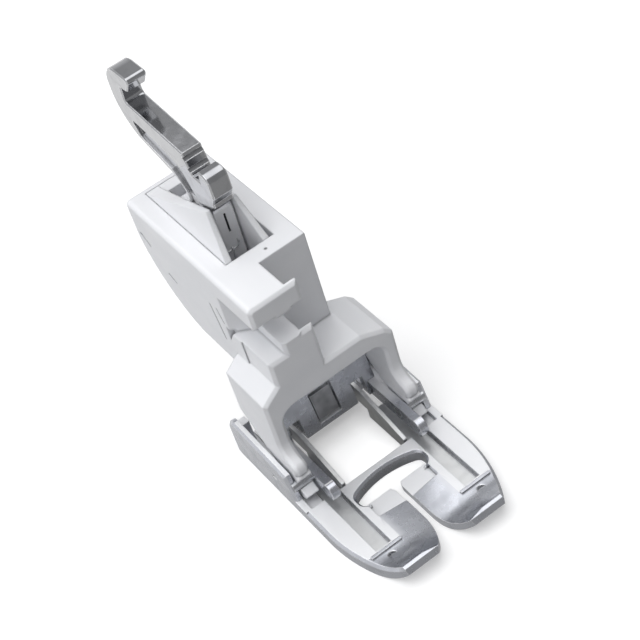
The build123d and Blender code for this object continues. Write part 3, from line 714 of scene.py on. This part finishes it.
@dataclass
class Lever:
    """Hooked lever on its bush, with the end of the return spring hooked to its stem."""

    finishes: Finishes
    wire: float = 0.14 * MM
    wire_steps: int = 40
    wire_sides: int = 12
    stem_front: float = 22.1 * MM
    stem_lean: float = -0.0245
    bar_z: float = 35.6 * MM
    bar_left: float = -2.9 * MM
    bar_right: float = -0.9 * MM
    bar_rise: float = 1.1 * MM
    leg_x: float = -2.1 * MM
    leg_low: float = 30.9 * MM
    sunk: float = 0.5 * MM

    def build(self) -> None:
        """Dresses the lever and its bush and hooks in the spring's end."""
        dress(["drive_lever"], self.finishes.lever.make())
        dress(["pivot_bush"], self.finishes.brass.make())
        wire = Wire(self.finishes.spring.make())
        strands = self._strands()
        piece = wire.sweep("return_spring_end", strands, self.wire, self.wire_steps, self.wire_sides)
        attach(piece, "lever")
        log.info("made %s with %d faces", piece.name, len(piece.data.polygons))

    def _front(self, height: float, off: float) -> float:
        """Y of a point that stands off the stem's leaning front face."""
        return self.stem_front + self.stem_lean * (height - self.bar_z) - off

    def _strands(self) -> list[list[Point]]:
        """Points of the cross bar with its turned-up end, and of the leg hooked over it."""
        rest = self.wire
        over = rest + 2 * self.wire
        low, high = self.bar_z, self.bar_z + self.bar_rise
        turn = self.bar_right - self.bar_rise / 2
        bar = [
            (self.bar_left, self._front(low, -self.sunk), low),
            (self.bar_left, self._front(low, rest), low),
            (self.leg_x, self._front(low, rest), low),
            (turn, self._front(low, rest), low),
            (self.bar_right, self._front(low, rest), (low + high) / 2),
            (self.bar_right, self._front(high, rest), high),
            (self.bar_right, self._front(high, -self.sunk), high),
        ]
        hooked = low + over
        leg = [
            (self.leg_x, self._front(hooked, -self.sunk), hooked),
            (self.leg_x, self._front(hooked, rest), hooked),
            (self.leg_x, self._front(low, over), low),
            (self.leg_x, self._front(low - over, rest), low - 2 * over),
            (self.leg_x, self._front(self.leg_low, rest), self.leg_low),
        ]
        return [bar, leg]


@dataclass
class SoleFoot:
    """Plated foot with its pins, and the feed that slides in it."""

    finishes: Finishes
    slit_half: float = 0.6 * MM
    slit_meets: float = -4.4 * MM
    slit_overlap: float = 0.2 * MM
    mouth_half: float = 1.05 * MM
    mouth_rear: float = -3.2 * MM
    ledge_clear: float = 1.5 * MM
    merge: float = 0.002 * MM
    crease: float = 30.0

    def build(self) -> None:
        """Dresses the foot, its pins and the feed, and opens the slit between the toes."""
        plating = self.finishes.foot.make()
        dress(["foot"], plating)
        self._casting(plating)
        dress(["foot_pin_left", "foot_pin_right"], self.finishes.turned.make())
        dress(["feed_carrier"], self.finishes.cast.make())
        dress(["feed_dog_left", "feed_dog_right"], self.finishes.ground.make())
        dress(["dog_rivets"], self.finishes.turned.make())

    def _casting(self, plating: bpy.types.Material) -> None:
        """Foot whose slit runs on through its ledge into the needle opening.

        Args:
            plating: Finish of the foot.
        """
        opened = self._opened(plating)
        normals = opened.attributes.get("custom_normal")
        if normals:
            opened.attributes.remove(normals)
        opened.shade_smooth()
        opened.set_sharp_from_angle(angle=math.radians(self.crease))
        piece = linked("foot_casting", opened)
        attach(piece, "sole_foot")
        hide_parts("foot")
        log.info("made %s with %d faces", piece.name, len(opened.polygons))

    def _opened(self, plating: bpy.types.Material) -> bpy.types.Mesh:
        """Cuts the mouth of the slit out of a merged copy of the foot.

        Args:
            plating: Finish of the foot.

        Returns:
            The cut mesh.
        """
        form = bmesh.new()
        form.from_mesh(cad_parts["foot"].data)
        bmesh.ops.remove_doubles(form, verts=form.verts, dist=self.merge)
        mesh = bpy.data.meshes.new("foot_whole")
        form.to_mesh(mesh)
        form.free()
        mesh.materials.append(plating)
        whole = linked("foot_whole", mesh)
        cutter = linked("slit_mouth", self._mouth())
        cut = whole.modifiers.new("slit", "BOOLEAN")
        cut.operation = "DIFFERENCE"
        cut.solver = "EXACT"
        cut.object = cutter
        opened = plain_mesh(whole, "foot_casting")
        for helper in (whole, cutter):
            bpy.data.objects.remove(helper)
        return opened

    def _mouth(self) -> bpy.types.Mesh:
        """Block that widens from the slit to the needle opening.

        Returns:
            The mesh of the block.
        """
        half = [
            (self.slit_half, self.slit_meets - self.slit_overlap),
            (self.slit_half, self.slit_meets),
            (self.mouth_half, self.mouth_rear),
        ]
        outline = half + [(-across, along) for across, along in reversed(half)]
        heights = (-self.slit_overlap, self.ledge_clear)
        points = [(*point, height) for height in heights for point in outline]
        count = len(outline)
        ring = [(corner, (corner + 1) % count) for corner in range(count)]
        sides = [(first, second, count + second, count + first) for first, second in ring]
        caps = [tuple(reversed(range(count))), tuple(range(count, 2 * count))]
        block = bpy.data.meshes.new("slit_mouth")
        block.from_pydata(points, [], sides + caps)
        return block


@dataclass
class Studio:
    """Pale floor, soft light and the camera at the photograph's angle.

    Reflections see a floor and a tent of their own, which are uneven so that the plating shows its
    form. Directions and shares are given to the right, to the rear and up.
    """

    # Camera
    eye: Point = (-61.29 * MM, -143.76 * MM, 186.28 * MM)
    azimuth: float = -22.5
    elevation: float = 44.0
    roll: float = 18.3
    lens: float = 90.0
    sensor: float = 36.0
    clip: float = 5 * MM

    # Lamp overhead, with its radiance on matt surfaces and in reflections
    key_from: Point = (-0.12, 0.11, 0.98)
    key_far: float = 2.0
    key_spread: float = 40.0
    key_blur: float = 1.0
    key_glare: float = 1.74
    key_shine: float = 1.15

    # Light from all round on matt surfaces
    glow_tint: Colour = (0.97, 0.98, 1.0)
    glow_lean: Point = (-0.9, 0.35, 0.1)
    glow_span: Span = (-0.45, 0.9)
    glow_levels: Span = (0.04, 1.0)
    fill_span: Span = (0.4, 1.0)
    fill_level: float = 0.24

    # Tent in reflections
    tent_tint: Colour = (0.98, 0.985, 1.0)
    tent_lean: Point = (-0.6, 0.5, 0.0)
    tent_span: Span = (-0.5, 0.4)
    tent_levels: Span = (0.28, 0.42)
    band_span: Span = (0.5, 1.0)
    band_level: float = 0.42
    sweep_high: Span = (0.3, 0.52)
    sweep_rear: Span = (0.2, 0.6)
    sweep_level: float = 0.22

    # Floor as the camera sees it, with painted light in the needle opening
    floor_half: float = 1.5
    floor_bounce: float = 0.34
    floor_pale: float = 0.72
    floor_lift: float = 0.33
    bay_painted_light: float = 0.3
    bay_aside: Span = (3 * MM, 7 * MM)
    bay_front: Span = (-4 * MM, 2 * MM)
    bay_rear: Span = (9 * MM, 14 * MM)

    # Floor in reflections, darker in front, with a painted shadow under the object
    sheen_lean: Point = (-0.5, 1.0, 0.0)
    sheen_span: Span = (-30 * MM, 80 * MM)
    sheen_levels: Span = (0.34, 0.92)
    under_shadow_level: float = 0.3
    under_aside: Span = (11 * MM, 13.5 * MM)
    under_front: Span = (-6 * MM, -1 * MM)
    under_rear: Span = (20 * MM, 30 * MM)

    def build(self) -> None:
        """Sets up everything round the object."""
        bpy.context.scene.view_settings.view_transform = "Standard"
        self._camera()
        self._world()
        self._floor()
        self._key()
        log.info("studio ready")

    def _camera(self) -> None:
        """Camera at the photograph's place, angle and roll."""
        turn, rise, roll = (math.radians(angle) for angle in (self.azimuth, self.elevation, self.roll))
        back = Vector((math.sin(turn) * math.cos(rise), -math.cos(turn) * math.cos(rise), math.sin(rise)))
        right = (-back).cross(Vector((0, 0, 1))).normalized()
        down = (-back).cross(right)
        rolled = math.cos(roll) * right + math.sin(roll) * down
        up = math.sin(roll) * right - math.cos(roll) * down
        data = bpy.data.cameras.new("camera")
        data.lens = self.lens
        data.sensor_width = self.sensor
        data.clip_start = self.clip
        camera = linked("camera", data)
        basis = Matrix((rolled, up, back)).transposed().to_4x4()
        camera.matrix_world = Matrix.Translation(self.eye) @ basis
        bpy.context.scene.camera = camera

    def _world(self) -> None:
        """White to the camera, an uneven soft light on matt surfaces and a tent in reflections."""
        world = bpy.data.worlds.new("tent")
        world.use_nodes = True
        bpy.context.scene.world = world
        recipe = Recipe(world.node_tree)
        direction = recipe.node("ShaderNodeTexCoord").outputs["Generated"]
        parts = recipe.parts(direction)
        soft = recipe.range(lean(parts, self.glow_lean), *self.glow_span, *self.glow_levels)
        fill = recipe.range(parts[0], *self.fill_span, 0.0, self.fill_level)
        tent = self._tent(recipe, parts) + self._lamp_disk(recipe, direction)
        backgrounds = [
            recipe.node("ShaderNodeBackground", {}, {"Color": opaque(colour), "Strength": level})
            for colour, level in ((self.glow_tint, soft + fill), (self.tent_tint, tent), (WHITE, 1.0))
        ]
        recipe.node("ShaderNodeOutputWorld", {}, {"Surface": recipe.by_ray(*backgrounds)})

    def _tent(self, recipe: Recipe, parts: list[Signal]) -> Signal:
        """Level of the tent: brighter to the left and the rear, with a low band behind.

        Args:
            recipe: Tree to add to.
            parts: The three parts of the direction that is looked in.

        Returns:
            The level in that direction.
        """
        right, rear, high = parts
        side = recipe.range(lean(parts, self.tent_lean), *self.tent_span, *self.tent_levels)
        band = recipe.range(right * -1.0, *self.band_span, 0.0, self.band_level)
        low = recipe.range(high, *self.sweep_high, self.sweep_level, 0.0)
        return side + low * recipe.range(rear, *self.sweep_rear) + band

    def _lamp_disk(self, recipe: Recipe, direction: bpy.types.NodeSocket) -> Signal:
        """The lamp as reflections see it, a disk with a soft rim.

        Args:
            recipe: Tree to add to.
            direction: The direction that is looked in.

        Returns:
            The disk's level in that direction.
        """
        toward = recipe.dot(direction, Vector(self.key_from).normalized())
        angles = (self.key_spread + self.key_blur, self.key_spread - self.key_blur)
        rim, disk = (math.cos(math.radians(angle)) for angle in angles)
        return recipe.range(toward, rim, disk, 0.0, self.key_shine)

    def _floor(self) -> None:
        """Pale floor that keeps the object's shadow, save for painted light in the needle opening."""
        half = self.floor_half
        corners = [(-half, -half, 0), (half, -half, 0), (half, half, 0), (-half, half, 0)]
        mesh = bpy.data.meshes.new("floor")
        mesh.from_pydata(corners, [], [(0, 1, 2, 3)])
        mesh.materials.append(self._floor_material())
        floor = linked("floor", mesh)

    def _floor_material(self) -> bpy.types.Material:
        """Matt grey for the light on the object, pale to the camera with painted light in the needle
        opening, and uneven in reflections with a painted shadow under the object.

        Returns:
            The material.
        """
        material, recipe = new_material("pale_floor")
        matt, pale = (
            recipe.node("ShaderNodeBsdfDiffuse", {}, {"Color": opaque((grey, grey, grey))})
            for grey in (self.floor_bounce, self.floor_pale)
        )
        parts = recipe.parts(recipe.place())
        right, rear, _ = parts
        aside = right.at_least(right * -1.0)
        # Painted light: the floor in the needle opening is lifted out of the object's shadow.
        beside_bay = recipe.range(aside, *self.bay_aside, 1.0, 0.0)
        behind_bay = recipe.range(rear, *self.bay_rear, 1.0, 0.0)
        bay = beside_bay * behind_bay * recipe.range(rear, *self.bay_front)
        lift = recipe.glowing(bay * self.bay_painted_light + self.floor_lift)
        shown = recipe.node("ShaderNodeAddShader", {}, {0: pale, 1: lift})
        # Painted shadow: the floor in reflections is darker under the object.
        beside = recipe.range(aside, *self.under_aside, self.under_shadow_level, 1.0)
        behind = recipe.range(rear, *self.under_rear, self.under_shadow_level, 1.0)
        before = recipe.range(rear, *self.under_front, 1.0, self.under_shadow_level)
        level = recipe.range(lean(parts, self.sheen_lean), *self.sheen_span, *self.sheen_levels)
        sheen = recipe.glowing(level * beside.at_least(behind).at_least(before))
        recipe.node("ShaderNodeOutputMaterial", {}, {"Surface": recipe.by_ray(matt, sheen, shown)})
        return material

    def _key(self) -> None:
        """Large soft lamp overhead, for matt surfaces only: reflections see the disk in the world."""
        data = bpy.data.lights.new("key", "AREA")
        data.shape = "DISK"
        reach = self.key_far * math.tan(math.radians(self.key_spread))
        data.size = 2 * reach
        data.energy = self.key_glare * (math.pi * reach) ** 2
        lamp = linked("key", data)
        lamp.visible_glossy = False
        aim = Vector(self.key_from).normalized()
        turned = aim.to_track_quat("Z", "Y").to_matrix().to_4x4()
        lamp.matrix_world = Matrix.Translation(aim * self.key_far) @ turned


def main() -> None:
    """Builds the studio and dresses the object, one sub-assembly at a time."""
    finishes = Finishes()
    Studio().build()
    for assembly in (Holder(finishes), Lever(finishes), SoleFoot(finishes)):
        assembly.build()


if __name__ == "__main__":
    main()
